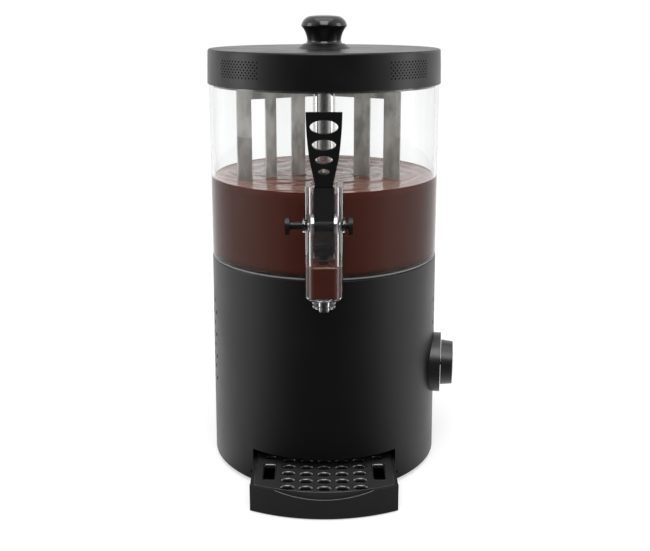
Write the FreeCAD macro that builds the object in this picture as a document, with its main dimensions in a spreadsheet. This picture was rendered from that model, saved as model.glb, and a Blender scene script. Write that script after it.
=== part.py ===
import FreeCAD, Part
import Sketcher
import math
import os
import re

# A hot chocolate dispenser: a round heated base, a clear tank with a stirrer, a lid, a lever tap
# and a drip tray. Origin: on the axis of the round body, on the surface that the feet stand on.
# +Z is up, the tap faces -Y.

Vector = FreeCAD.Vector
Rotation = FreeCAD.Rotation

# Driving sizes, in millimetres, degrees and counts
SIZES = {
    # round base
    "body_radius": 105.0,
    "base_flare": 1.3,
    "base_height": 194.0,
    "base_wall": 3.0,
    "base_bottom_bevel": 1.3,
    "deck_round": 1.2,
    "deck_thickness": 3.5,
    "foot_height": 3.0,
    "foot_radius": 9.0,
    "foot_front_inset": 12.72,
    "foot_front_angle": 29.9,
    "foot_back_inset": 14.45,
    "foot_back_angle": 46.79,
    "bottom_plate_thickness": 2.0,
    "bottom_boss_radius": 4.5,
    "bottom_boss_height": 30.0,
    "bottom_boss_inset": 6.8,
    "bottom_boss_angle": 16.0,
    # common fasteners and clearances
    "flat_gap": 0.3,
    "running_gap": 0.05,
    "slide_gap": 0.5,
    "screw_radius": 2.0,
    "screw_gap": 0.1,
    "screw_head_radius": 3.6,
    "screw_head_height": 2.2,
    "screw_bite": 12.0,
    "crown_flat": 1.0,
    # vent holes in the base
    "vent_radius": 2.15,
    "vent_row_pitch": 10.8,
    "vent_column_pitch": 5.9,
    "vent_low_z": 80.1,
    "vent_left_rows": 8,
    "vent_right_rows": 4,
    "vent_columns": 7,
    "vent_left_start": 72.0,
    "vent_right_start": 75.0,
    # heater
    "heater_inset": 17.0,
    "heater_thickness": 6.0,
    "heater_hole_radius": 16.5,
    "heater_ledge_width": 4.0,
    "heater_ledge_thickness": 2.0,
    "element_ring_radius": 60.0,
    "element_tube_radius": 4.0,
    "element_sweep": 330.0,
    "element_pin_length": 14.0,
    "cutout_radius": 9.0,
    "cutout_height": 8.0,
    "cutout_x": 32.0,
    "cutout_y": -14.0,
    "bulb_radius": 3.0,
    "bulb_length": 50.0,
    "bulb_y": 40.0,
    # carrier plate, gearbox and motor
    "carrier_boss_radius": 5.0,
    "carrier_boss_inset": 11.0,
    "carrier_boss_start": 30.0,
    "carrier_drop": 27.5,
    "carrier_thickness": 1.5,
    "carrier_edge_gap": 4.0,
    "gearbox_height": 27.5,
    "gearbox_wall": 2.5,
    "gearbox_side_room": 4.0,
    "gear_module": 1.0,
    "gear_teeth": 48,
    "pinion_teeth": 16,
    "gear_width": 8.0,
    "gear_lift": 8.0,
    "pinion_extra": 1.0,
    "motor_radius": 18.0,
    "motor_length": 44.0,
    "motor_shaft_radius": 2.5,
    "motor_shaft_depth": 18.0,
    "motor_screw_spread": 13.0,
    # drive shaft and riser tube
    "shaft_radius": 4.0,
    "bush_height": 12.0,
    "socket_radius": 8.0,
    "socket_height": 5.5,
    "riser_radius": 10.4,
    "riser_wall": 2.0,
    "riser_height": 148.0,
    "riser_flange_radius": 15.0,
    "riser_flange_thickness": 2.0,
    "riser_gasket_thickness": 1.0,
    "riser_tail": 8.0,
    "riser_nut_height": 6.0,
    "riser_nut_radius": 15.6,
    # tank
    "tank_setback": 0.25,
    "tank_wall": 3.0,
    "tank_floor": 2.5,
    "tank_height": 158.0,
    "gasket_inset": 5.75,
    "gasket_width": 5.0,
    "gasket_depth": 1.5,
    "chocolate_depth": 71.2,
    "outlet_z": 18.0,
    "outlet_radius": 12.0,
    "outlet_bore": 7.0,
    "outlet_stand": 5.0,
    "outlet_gasket_thickness": 1.0,
    # stirrer
    "washer_radius": 10.0,
    "washer_thickness": 1.0,
    "hub_radius": 14.0,
    "hub_height": 12.0,
    "bar_height": 12.0,
    "bar_below_rim": 12.5,
    "comb_thickness": 2.0,
    "comb_root": 11.5,
    "comb_tip_gap": 4.0,
    "left_comb_angle": 210.0,
    "right_comb_angle": 330.0,
    "back_comb_angle": 90.0,
    "left_tine_1": 27.2,
    "left_tine_2": 54.9,
    "left_tine_3": 80.8,
    "left_tine_width": 13.5,
    "left_tine_narrow": 10.2,
    "right_tine_1": 39.5,
    "right_tine_2": 69.3,
    "right_tine_width": 15.7,
    "back_tine_1": 47.0,
    "back_tine_2": 75.0,
    "back_tine_width": 13.5,
    "hub_nut_radius": 7.5,
    "hub_nut_height": 6.0,
    "shaft_over_nut": 2.0,
    # lid
    "lid_overhang": 1.25,
    "lid_taper": 0.85,
    "lid_height": 30.4,
    "lid_wall": 3.0,
    "lid_thickness": 2.5,
    "lid_round": 2.0,
    "lid_skirt_gap": 1.15,
    "lid_skirt_thickness": 2.0,
    "lid_skirt_drop": 2.0,
    "lid_skirt_height": 6.0,
    "lid_seal_height": 4.0,
    "lid_boss_low_radius": 24.1,
    "lid_boss_top_radius": 18.6,
    "lid_boss_height": 4.1,
    "lid_hole_radius": 0.75,
    "lid_hole_row_pitch": 2.2,
    "lid_hole_column_pitch": 2.1,
    "lid_hole_rows": 7,
    "lid_hole_columns": 12,
    "lid_hole_start": 31.5,
    "lid_hole_low": 9.1,
    # lid knob
    "knob_foot_radius": 17.0,
    "knob_neck_radius": 15.4,
    "knob_neck_height": 2.7,
    "knob_radius": 20.8,
    "knob_wide_height": 15.8,
    "knob_crown_radius": 13.5,
    "knob_crown_height": 24.3,
    "knob_height": 25.4,
    "knob_screw_depth": 12.0,
    # tap
    "tap_stand": 25.0,
    "barrel_width": 30.2,
    "barrel_depth": 34.0,
    "barrel_corner": 10.0,
    "barrel_bottom_round": 4.0,
    "barrel_bottom_z": 190.6,
    "barrel_height": 93.8,
    "barrel_wall": 4.3,
    "barrel_floor": 3.0,
    "bore_corner": 4.0,
    "nozzle_radius": 9.45,
    "nozzle_length": 8.4,
    "nozzle_tip_radius": 4.6,
    "nozzle_tip_length": 3.5,
    "nozzle_bore": 3.4,
    "nozzle_spigot_radius": 6.0,
    "nozzle_round": 1.2,
    "nozzle_tip_round": 0.6,
    "union_radius": 14.8,
    "union_length": 6.9,
    "pivot_height": 60.2,
    "pin_radius": 3.15,
    "pin_left": 31.0,
    "pin_right": 23.0,
    "pin_head_radius": 7.75,
    "pin_head_thickness": 3.5,
    "pin_cap_bite": 2.0,
    "pivot_boss_radius": 6.0,
    "pivot_boss_height": 1.9,
    "spacer_radius": 9.8,
    "spacer_gap": 0.25,
    "tap_chocolate_depth": 25.0,
    # tap lever
    "stem_width": 14.2,
    "stem_thickness": 6.0,
    "stem_top": 33.6,
    "paddle_low": 53.3,
    "paddle_low_width": 23.0,
    "paddle_top": 90.4,
    "paddle_top_width": 28.7,
    "paddle_bulge": 300.0,
    "lever_boss_radius": 5.2,
    "toe_reach": 10.4,
    "toe_thickness": 3.4,
    "toe_width": 7.0,
    "window_1_over_pivot": 78.9,
    "window_1_width": 22.4,
    "window_1_height": 11.3,
    "window_2_over_pivot": 64.9,
    "window_2_width": 18.9,
    "window_2_height": 8.8,
    "window_3_over_pivot": 53.1,
    "window_3_width": 13.7,
    "window_3_height": 6.5,
    "window_4_over_pivot": 43.8,
    "window_4_width": 9.0,
    "window_4_height": 4.6,
    # plunger
    "plunger_width": 13.8,
    "plunger_front": 7.9,
    "plunger_front_thickness": 2.0,
    "plunger_front_top": 2.8,
    "plunger_back": 12.3,
    "plunger_back_thickness": 1.4,
    "plunger_back_width": 8.0,
    "plunger_block_low": 22.8,
    "plunger_block_height": 8.0,
    "plunger_lip": 3.9,
    "plunger_lip_thickness": 2.0,
    "plunger_lip_gap": 0.4,
    "plunger_travel": 2.6,
    "rod_radius": 4.0,
    "collar_radius": 6.5,
    "collar_height": 4.0,
    "seal_radius": 7.2,
    "seal_height": 4.0,
    # dial
    "dial_angle": 82.0,
    "dial_z": 89.6,
    "bezel_radius": 28.0,
    "bezel_stand": 6.0,
    "bezel_lip": 1.2,
    "bezel_lip_width": 2.5,
    "dial_radius": 21.3,
    "dial_top_radius": 20.0,
    "dial_thickness": 11.0,
    "dial_gap": 0.5,
    "cap_radius": 16.5,
    "cap_recess": 1.0,
    "cap_rise": 1.0,
    "bush_radius": 4.5,
    "spindle_radius": 3.0,
    "spindle_grip": 7.0,
    "thermostat_width": 30.0,
    "thermostat_height": 34.0,
    "thermostat_depth": 20.0,
    "thermostat_inset": 4.0,
    # drip tray, its recess and grid
    "tray_half_width": 63.4,
    "tray_reach": 42.0,
    "tray_under_body": 39.0,
    "tray_wall": 2.5,
    "tray_floor": 2.5,
    "tray_bottom": 1.2,
    "tray_rim": 22.4,
    "tray_ledge": 3.9,
    "tray_ledge_start": 22.0,
    "tray_ledge_thickness": 2.0,
    "grid_thickness": 2.0,
    "grid_half_width": 60.0,
    "grid_skirt": 6.0,
    "grid_skirt_inset": 8.0,
    "grid_skirt_depth": 24.0,
    "grid_bow": 0.06,
    "grid_edge_gap": 0.4,
    "grid_hole_length": 13.0,
    "grid_hole_width": 8.6,
    "grid_end_hole_length": 12.0,
    "grid_pitch_x": 15.6,
    "grid_pitch_y": 12.0,
    "grid_row_inset": 9.5,
    "grid_columns": 5,
    "grid_rows": 5,
    "grid_side_x": 48.0,
    "grid_slot_width": 11.0,
    "grid_slot_length": 28.6,
    "grid_slot_corner": 2.0,
    "grid_slot_inset": 24.0,
    "scoop_half_width": 42.0,
    "scoop_depth": 5.7,
    "recess_height": 31.0,
    "recess_wall": 4.5,
    "recess_roof": 3.0,
    "runner_width": 2.0,
    "runner_thickness": 2.0,
    "runner_length": 14.0,
    "runner_z": 10.0,
    # cord gland and terminal block
    "gland_z": 25.0,
    "gland_bore": 3.6,
    "gland_neck": 6.5,
    "gland_flange": 9.0,
    "gland_shoulder": 1.5,
    "gland_flange_thickness": 3.0,
    "gland_nut_thickness": 3.0,
    "gland_tail": 6.0,
    "gland_tail_radius": 5.6,
    "terminal_length": 32.0,
    "terminal_width": 14.0,
    "terminal_height": 12.0,
    "terminal_inset": 35.0,
}

# Places worked out from the driving sizes
PLACES = {
    "base_bottom_radius": "body_radius + base_flare",
    "terminal_y": "body_radius - terminal_inset",
    "foot_front_x": "(body_radius - foot_front_inset) * cos(foot_front_angle)",
    "foot_front_y": "(body_radius - foot_front_inset) * sin(foot_front_angle)",
    "foot_back_x": "(body_radius - foot_back_inset) * cos(foot_back_angle)",
    "foot_back_y": "(body_radius - foot_back_inset) * sin(foot_back_angle)",
    "tray_back": "body_radius - tray_under_body",
    "tray_front_radius": "body_radius + tray_reach",
    "tap_y": "body_radius + tap_stand",
    "outlet_reach": "body_radius + outlet_stand",
    "thermostat_face": "body_radius - thermostat_inset",
    "carrier_boss_ring": "body_radius - carrier_boss_inset",
    "heater_radius": "body_radius - heater_inset",
    "tank_radius": "body_radius - tank_setback",
    "deck_top": "foot_height + base_height",
    "deck_under": "deck_top - deck_thickness",
    "heater_under": "deck_top - heater_thickness",
    "heater_seat": "heater_radius + flat_gap",
    "carrier_top": "deck_top - carrier_drop",
    "carrier_under": "carrier_top - carrier_thickness",
    "gearbox_low": "carrier_under - gearbox_height - gearbox_wall",
    "gearbox_lid_low": "carrier_under - gearbox_wall",
    "gear_radius": "gear_module * gear_teeth / 2",
    "pinion_pitch": "gear_module * pinion_teeth / 2",
    "gear_centres": "gear_radius + pinion_pitch",
    "gear_low": "gearbox_low + gearbox_wall + gear_lift",
    "gearbox_half": "gear_radius + gear_module + gearbox_side_room",
    "gearbox_end": "gear_centres + pinion_pitch + gear_module + gearbox_side_room",
    "tank_inner": "tank_radius - tank_wall",
    "gasket_outer": "tank_radius - gasket_inset",
    "gasket_inner": "gasket_outer - gasket_width",
    "floor_top": "deck_top + tank_floor",
    "tank_top": "deck_top + tank_height",
    "outlet_height": "deck_top + outlet_z",
    "riser_low": "deck_top - riser_tail",
    "riser_top": "deck_top + riser_height",
    "riser_bore": "riser_radius - riser_wall",
    "shaft_hole": "shaft_radius + running_gap",
    "bar_low": "tank_top - bar_below_rim",
    "bar_top": "bar_low + bar_height",
    "hub_low": "riser_top + washer_thickness",
    "hub_top": "hub_low + hub_height",
    "shaft_low": "gearbox_low + gearbox_wall + flat_gap",
    "shaft_top": "hub_top + hub_nut_height + shaft_over_nut",
    "comb_tip": "floor_top + comb_tip_gap",
    "chocolate_low": "floor_top + flat_gap",
    "chocolate_top": "floor_top + chocolate_depth",
    "chocolate_radius": "tank_inner - flat_gap",
    "flange_top": "floor_top + riser_gasket_thickness + riser_flange_thickness",
    "lid_rim_radius": "tank_radius + lid_overhang",
    "lid_top_radius": "lid_rim_radius - lid_taper",
    "lid_skirt_radius": "tank_inner - lid_skirt_gap",
    "lid_top": "tank_top + lid_height",
    "lid_under": "lid_top - lid_thickness",
    "skirt_low": "tank_top - lid_skirt_drop",
    "skirt_top": "skirt_low + lid_skirt_height",
    "knob_low": "lid_top + lid_boss_height",
    "barrel_top": "barrel_bottom_z + barrel_height",
    "barrel_floor_top": "barrel_bottom_z + barrel_floor",
    "barrel_back": "tap_y - barrel_depth / 2",
    "bore_width": "barrel_width - 2 * barrel_wall",
    "bore_depth": "barrel_depth - 2 * barrel_wall",
    "pivot_z": "barrel_bottom_z + pivot_height",
    "pin_hole": "pin_radius + running_gap",
    "outlet_flange_face": "outlet_reach + outlet_gasket_thickness",
    "spacer_inner": "stem_width / 2 + spacer_gap",
    "spacer_outer": "bore_width / 2 - spacer_gap",
    "block_low": "pivot_z - plunger_block_low",
    "block_top": "block_low + plunger_block_height",
    "lip_low": "pivot_z + toe_thickness / 2 + plunger_lip_gap",
    "seal_top": "barrel_floor_top + seal_height",
    "collar_low": "block_low - collar_height",
    "bezel_face": "base_bottom_radius + bezel_stand",
    "dial_low": "bezel_face + dial_gap",
    "dial_high": "dial_low + dial_thickness",
    "tray_top": "tray_rim + grid_thickness",
    "tray_inner_half": "tray_half_width - tray_wall",
    "recess_half": "tray_half_width + slide_gap",
    "recess_top": "foot_height + recess_height",
    "recess_back": "tray_back - tray_wall - slide_gap",
    "recess_outer_half": "recess_half + recess_wall",
    "grid_front": "tray_front_radius - tray_wall - grid_edge_gap",
    "grid_back": "tray_back + slide_gap",
    "grid_front_row": "tray_front_radius - grid_row_inset",
    "grid_slot_front": "tray_front_radius - grid_slot_inset",
}

NODES = []

doc = FreeCAD.newDocument("dispenser")
sheet = doc.addObject("Spreadsheet::Sheet", "sizes")
for row, (word, number) in enumerate(SIZES.items(), start=1):
    sheet.set(f"A{row}", word)
    sheet.set(f"B{row}", str(number))
    sheet.setAlias(f"B{row}", word)
doc.recompute()


def cells(text):
    """Write an expression of named sizes and places in the cells of the sheet."""

    def swap(match):
        word = match.group(0)
        if word in PLACES:
            return "(" + cells(PLACES[word]) + ")"
        return "sizes." + word if word in SIZES else word

    return re.sub(r"[a-z][a-z0-9_]*", swap, str(text))


def size(text):
    """The number that an expression of named sizes and places stands for."""
    return float(sheet.evalExpression(cells(text)))


def bind(thing, **properties):
    """Bind properties of an object to expressions of named sizes."""
    for name, text in properties.items():
        thing.setExpression(name, cells(text))
    return thing


def place(thing, at=("0", "0", "0"), turn=None):
    """Put an object at a bound point, turned by a fixed rotation."""
    if turn is not None:
        thing.Placement = FreeCAD.Placement(Vector(), turn)
    for axis, text in zip("xyz", at):
        if str(text) != "0":
            thing.setExpression(f"Placement.Base.{axis}", cells(text))
    return thing


def along_x():
    return Rotation(Vector(0, 1, 0), 90)


def along_y():
    return Rotation(Vector(1, 0, 0), -90)


def radial(front_angle):
    """Turn +Z to point out of the body, at an angle counted from the front towards +X."""
    return Rotation(Vector(0, 0, 1), front_angle - 90) * Rotation(Vector(0, 1, 0), 90)


def cylinder(radius, height, at=("0", "0", "0"), turn=None):
    thing = doc.addObject("Part::Cylinder", "cylinder")
    return place(bind(thing, Radius=radius, Height=height), at, turn)


def cone(low_radius, high_radius, height, at=("0", "0", "0"), turn=None):
    thing = doc.addObject("Part::Cone", "cone")
    return place(bind(thing, Radius1=low_radius, Radius2=high_radius, Height=height), at, turn)


def box(low, high, turn=None):
    """A box between two corners given as expressions."""
    thing = doc.addObject("Part::Box", "box")
    spans = [f"({b}) - ({a})" for a, b in zip(low, high)]
    bind(thing, Length=spans[0], Width=spans[1], Height=spans[2])
    return place(thing, low, turn)


def hexagon(radius, height, at):
    thing = doc.addObject("Part::Prism", "prism")
    thing.Polygon = 6
    return place(bind(thing, Circumradius=radius, Height=height), at)


def fuse(*things):
    thing = doc.addObject("Part::MultiFuse", "fusion")
    thing.Shapes = list(things)
    thing.Refine = True
    return thing


def cut(base, *tools):
    for tool in tools:
        thing = doc.addObject("Part::Cut", "cut")
        thing.Base = base
        thing.Tool = tool
        thing.Refine = True
        base = thing
    return base


def common(first, second):
    thing = doc.addObject("Part::Common", "common")
    thing.Base = first
    thing.Tool = second
    thing.Refine = True
    return thing


def ring(outer, inner, height, at):
    """A tube or washer about a vertical axis, with its bore through."""
    return cut(cylinder(outer, height, at), cylinder(inner, height, at))


def shaped(shape):
    """Hold a shape that code has made."""
    thing = doc.addObject("Part::Feature", "shape")
    thing.Shape = shape
    return thing


def rounded(base, radius, wanted):
    """Round the edges that a test picks, with one radius."""
    doc.recompute()
    thing = doc.addObject("Part::Fillet", "fillet")
    thing.Base = base
    number = size(radius)
    thing.Edges = [(i, number, number) for i, edge in enumerate(base.Shape.Edges, start=1) if wanted(edge)]
    return thing


def upright(edge):
    box_of_edge = edge.BoundBox
    return box_of_edge.XLength < 0.001 and box_of_edge.YLength < 0.001 and box_of_edge.ZLength > 1


def node(name, thing):
    """Name a finished piece."""
    thing.Label = name
    NODES.append(thing)
    return thing


def arc_middle(start, end, radius):
    """The middle point of an arc. A positive radius bulges to the right of the way from start to end."""
    chord = end - start
    half = chord.Length / 2
    rise = abs(radius) - math.sqrt(max(radius * radius - half * half, 0.0))
    side = Vector(chord.y, -chord.x, 0).normalize()
    return (start + end) * 0.5 + side * math.copysign(rise, radius)


def outline(sketch, points):
    """Draw a closed outline of lines and arcs.

    A point is (x, z) or (x, z, radius of the arc that leads to it).
    """
    spots = [Vector(size(p[0]), size(p[1]), 0) for p in points]
    for i, point in enumerate(points):
        start = spots[i - 1]
        end = spots[i]
        if len(point) == 3:
            radius = size(point[2])
            middle = arc_middle(start, end, radius)
            first, last = (start, end) if radius > 0 else (end, start)
            sketch.addGeometry(Part.Arc(first, middle, last), False)
        else:
            sketch.addGeometry(Part.LineSegment(start, end), False)
    ends = []
    for i, point in enumerate(points):
        curve = sketch.Geometry[i]
        first = curve.StartPoint if hasattr(curve, "StartPoint") else curve.value(curve.FirstParameter)
        forward = first.distanceToPoint(spots[i - 1]) < first.distanceToPoint(spots[i])
        ends.append((1, 2) if forward else (2, 1))
    for i, point in enumerate(points):
        after = (i + 1) % len(points)
        add_constraint(sketch, "Coincident", i, ends[i][1], after, ends[after][0])
    for i, point in enumerate(points):
        for kind, axis, number, text in (
            ("DistanceX", -2, spots[i].x, point[0]),
            ("DistanceY", -1, spots[i].y, point[1]),
        ):
            if abs(number) < 1e-9:
                add_constraint(sketch, "PointOnObject", i, ends[i][1], axis)
            elif number > 0:
                index = add_constraint(sketch, kind, -1, 1, i, ends[i][1], number)
                sketch.setExpression(f"Constraints[{index}]", cells(text))
            else:
                index = add_constraint(sketch, kind, i, ends[i][1], -1, 1, -number)
                sketch.setExpression(f"Constraints[{index}]", cells(f"0 - ({text})"))
        if len(point) == 3:
            index = add_constraint(sketch, "Radius", i, abs(size(point[2])))
            sketch.setExpression(f"Constraints[{index}]", cells(f"abs({point[2]})"))


def add_constraint(sketch, *parts):
    return sketch.addConstraint(Sketcher.Constraint(*parts))


def sketch_on(body, role, points):
    sketch = body.newObject("Sketcher::SketchObject", "outline")
    plane = [f for f in body.Origin.OriginFeatures if f.Role == role][0]
    sketch.AttachmentSupport = [(plane, "")]
    sketch.MapMode = "FlatFace"
    outline(sketch, points)
    doc.recompute()
    return sketch


def turned(points):
    """A body turned about the vertical axis from a half section of (radius, height) points."""
    body = doc.addObject("PartDesign::Body", "turned")
    sketch = sketch_on(body, "XZ_Plane", points)
    feature = body.newObject("PartDesign::Revolution", "revolution")
    feature.Profile = sketch
    feature.ReferenceAxis = (sketch, ["V_Axis"])
    feature.Angle = 360
    return body


def plate(points, thickness, at=("0", "0", "0"), turn=None, role="XZ_Plane"):
    """A body padded evenly to both sides of a plane from an outline."""
    body = doc.addObject("PartDesign::Body", "plate")
    sketch = sketch_on(body, role, points)
    feature = body.newObject("PartDesign::Pad", "pad")
    feature.Profile = sketch
    feature.SideType = "Symmetric"
    bind(feature, Length=thickness)
    return place(body, at, turn)


def around(radius, height, angle):
    """A bound point on a ring, with its angle in degrees from +X."""
    return (f"({radius}) * cos({angle})", f"({radius}) * sin({angle})", height)


def screw_down(at_top, shank):
    """A screw whose head hangs under a face, with its shank going up."""
    x, y, z = at_top
    head = cylinder("screw_head_radius", "screw_head_height", (x, y, f"{z} - screw_head_height"))
    return fuse(head, cylinder("screw_radius", shank, (x, y, z)))


def vent_holes(rows, first_angle, side):
    """Round holes through the base wall, in staggered rows. Side is 1 for the right and -1 for the left."""
    holes = []
    reach = size("base_wall") + 6
    for row in range(int(rows)):
        z = size("vent_low_z") + row * size("vent_row_pitch")
        if side > 0:
            top_row = size("vent_left_rows") - 1
            z = size("vent_low_z") + (top_row - row) * size("vent_row_pitch")
        for column in range(int(size("vent_columns"))):
            shift = column + 0.5 * (row % 2)
            angle = math.radians(first_angle + shift * size("vent_column_pitch"))
            out = Vector(side * math.sin(angle), -math.cos(angle), 0)
            start = out * (size("body_radius") - reach + 2) + Vector(0, 0, z)
            holes.append(Part.makeCylinder(size("vent_radius"), reach + 4, start, out))
    return shaped(Part.makeCompound(holes))


def build_base():
    shell = turned([
        ("base_bottom_radius - base_wall", "foot_height"),
        ("base_bottom_radius - base_bottom_bevel", "foot_height"),
        ("base_bottom_radius", "foot_height + base_bottom_bevel"),
        ("body_radius", "deck_top - deck_round"),
        ("body_radius - deck_round", "deck_top", "deck_round"),
        ("gasket_outer", "deck_top"),
        ("gasket_outer", "deck_top - gasket_depth"),
        ("gasket_inner", "deck_top - gasket_depth"),
        ("gasket_inner", "deck_top"),
        ("heater_seat", "deck_top"),
        ("heater_seat", "heater_under"),
        ("heater_radius - heater_ledge_width", "heater_under"),
        ("heater_radius - heater_ledge_width", "heater_under - heater_ledge_thickness"),
        ("heater_radius + heater_ledge_width", "heater_under - heater_ledge_thickness"),
        ("heater_radius + heater_ledge_width", "deck_under"),
        ("body_radius - base_wall", "deck_under"),
    ])
    recess = box(
        ("0 - recess_outer_half", "0 - body_radius", "foot_height"),
        ("recess_outer_half", "0 - recess_back + recess_roof", "recess_top + recess_roof"),
    )
    inside = cylinder("body_radius - base_wall / 2", "recess_height + recess_roof", ("0", "0", "foot_height"))
    solids = [shell, common(recess, inside)]
    holes = []
    for i in range(3):
        x, y, z = around("carrier_boss_ring", "carrier_top", f"carrier_boss_start + {i} * 120")
        solids.append(cylinder("carrier_boss_radius", "deck_under + 1 - carrier_top", (x, y, z)))
        holes.append(cylinder("screw_radius + screw_gap", "screw_bite + 1", (x, y, z)))
    for angle in bottom_boss_angles():
        x, y, z = around(
            "base_bottom_radius - bottom_boss_inset", "foot_height + bottom_plate_thickness", angle
        )
        solids.append(cylinder("bottom_boss_radius", "bottom_boss_height", (x, y, z)))
        holes.append(cylinder("screw_radius + screw_gap", "screw_bite + 1", (x, y, z)))
    holes.append(box(
        ("0 - recess_half", "0 - tray_front_radius", "0"),
        ("recess_half", "0 - recess_back", "recess_top"),
    ))
    groove = "runner_width + slide_gap"
    holes.append(box(
        (f"0 - recess_half - ({groove})", "0 - tray_front_radius", "runner_z - slide_gap / 2"),
        (f"recess_half + {groove}", "0 - recess_back", "runner_z + runner_thickness + slide_gap / 2"),
    ))
    holes.append(cylinder(
        "bush_radius + screw_gap", "base_wall * 4",
        dial_point("body_radius - base_wall * 2"), radial(size("dial_angle")),
    ))
    holes.append(cylinder(
        "gland_neck + screw_gap", "base_wall * 4", ("0", "body_radius - base_wall * 2", "gland_z"), along_y()
    ))
    holes.append(vent_holes(size("vent_left_rows"), size("vent_left_start"), -1))
    holes.append(vent_holes(size("vent_right_rows"), size("vent_right_start"), 1))
    node("base_shell", cut(fuse(*solids), *holes))


def bottom_boss_angles():
    """Two bosses beside the recess and two at the back."""
    beside = ["0 - bottom_boss_angle", "180 + bottom_boss_angle"]
    behind = ["90 - bottom_boss_angle", "90 + bottom_boss_angle"]
    return beside + behind


def dial_point(reach, height="dial_z"):
    """A point out from the body's axis towards the dial."""
    return (f"({reach}) * sin(dial_angle)", f"0 - ({reach}) * cos(dial_angle)", height)


def build_underside():
    plate_disc = cylinder(
        "base_bottom_radius - base_wall - slide_gap", "bottom_plate_thickness", ("0", "0", "foot_height")
    )
    tools = [box(
        ("0 - recess_outer_half - flat_gap", "0 - tray_front_radius", "0"),
        ("recess_outer_half + flat_gap", "0 - recess_back + recess_roof + flat_gap", "recess_top"),
    )]
    screws = []
    for angle in bottom_boss_angles():
        spot = around("base_bottom_radius - bottom_boss_inset", "foot_height", angle)
        tools.append(cylinder("screw_radius + screw_gap", "bottom_plate_thickness", spot))
        screws.append(screw_down(spot, "bottom_plate_thickness + screw_bite"))
    feet = []
    for x, y in (
        ("foot_front_x", "0 - foot_front_y"),
        ("0 - foot_front_x", "0 - foot_front_y"),
        ("foot_back_x", "foot_back_y"),
        ("0 - foot_back_x", "foot_back_y"),
    ):
        feet.append(cylinder("foot_radius", "foot_height", (x, y, "0")))
    node("bottom_plate", cut(plate_disc, *tools))
    node("feet", fuse(*feet))
    node("bottom_screws", fuse(*screws))


def build_heater():
    node("heater_plate", ring(
        "heater_radius", "heater_hole_radius", "heater_thickness", ("0", "0", "heater_under")
    ))
    tube = doc.addObject("Part::Torus", "torus")
    bind(tube, Radius1="element_ring_radius", Radius2="element_tube_radius", Angle3="element_sweep")
    place(tube, ("0", "0", "heater_under - element_tube_radius"))
    pins = []
    for angle in ("0", "element_sweep"):
        spot = around("element_ring_radius", "heater_under - element_tube_radius - element_pin_length", angle)
        pins.append(cylinder("element_tube_radius", "element_pin_length", spot))
    node("heating_element", fuse(tube, *pins))
    node("thermal_cutout", cylinder(
        "cutout_radius", "cutout_height", ("cutout_x", "cutout_y", "heater_under - cutout_height")
    ))
    node("thermostat_bulb", cylinder(
        "bulb_radius", "bulb_length",
        ("0 - bulb_length / 2", "bulb_y", "heater_under - bulb_radius"), along_x(),
    ))


def gear_shape(teeth, width, low, centre_y, turn, bore):
    """A spur gear with straight-sided teeth, a little thinner than their gaps."""
    module = size("gear_module")
    pitch = teeth * module / 2
    step = 2 * math.pi / teeth
    marks = ((pitch - 1.25 * module, 0.27), (pitch, 0.20), (pitch + 0.9 * module, 0.10))
    points = []
    for tooth in range(teeth):
        middle = turn + tooth * step
        for radius, share in marks:
            angle = middle - share * step
            points.append(Vector(radius * math.cos(angle), radius * math.sin(angle), 0))
        for radius, share in reversed(marks):
            angle = middle + share * step
            points.append(Vector(radius * math.cos(angle), radius * math.sin(angle), 0))
    face = Part.Face(Part.makePolygon(points + points[:1]))
    gear = face.extrude(Vector(0, 0, width)).cut(Part.makeCylinder(bore, width))
    gear.translate(Vector(0, centre_y, low))
    return gear


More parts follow.
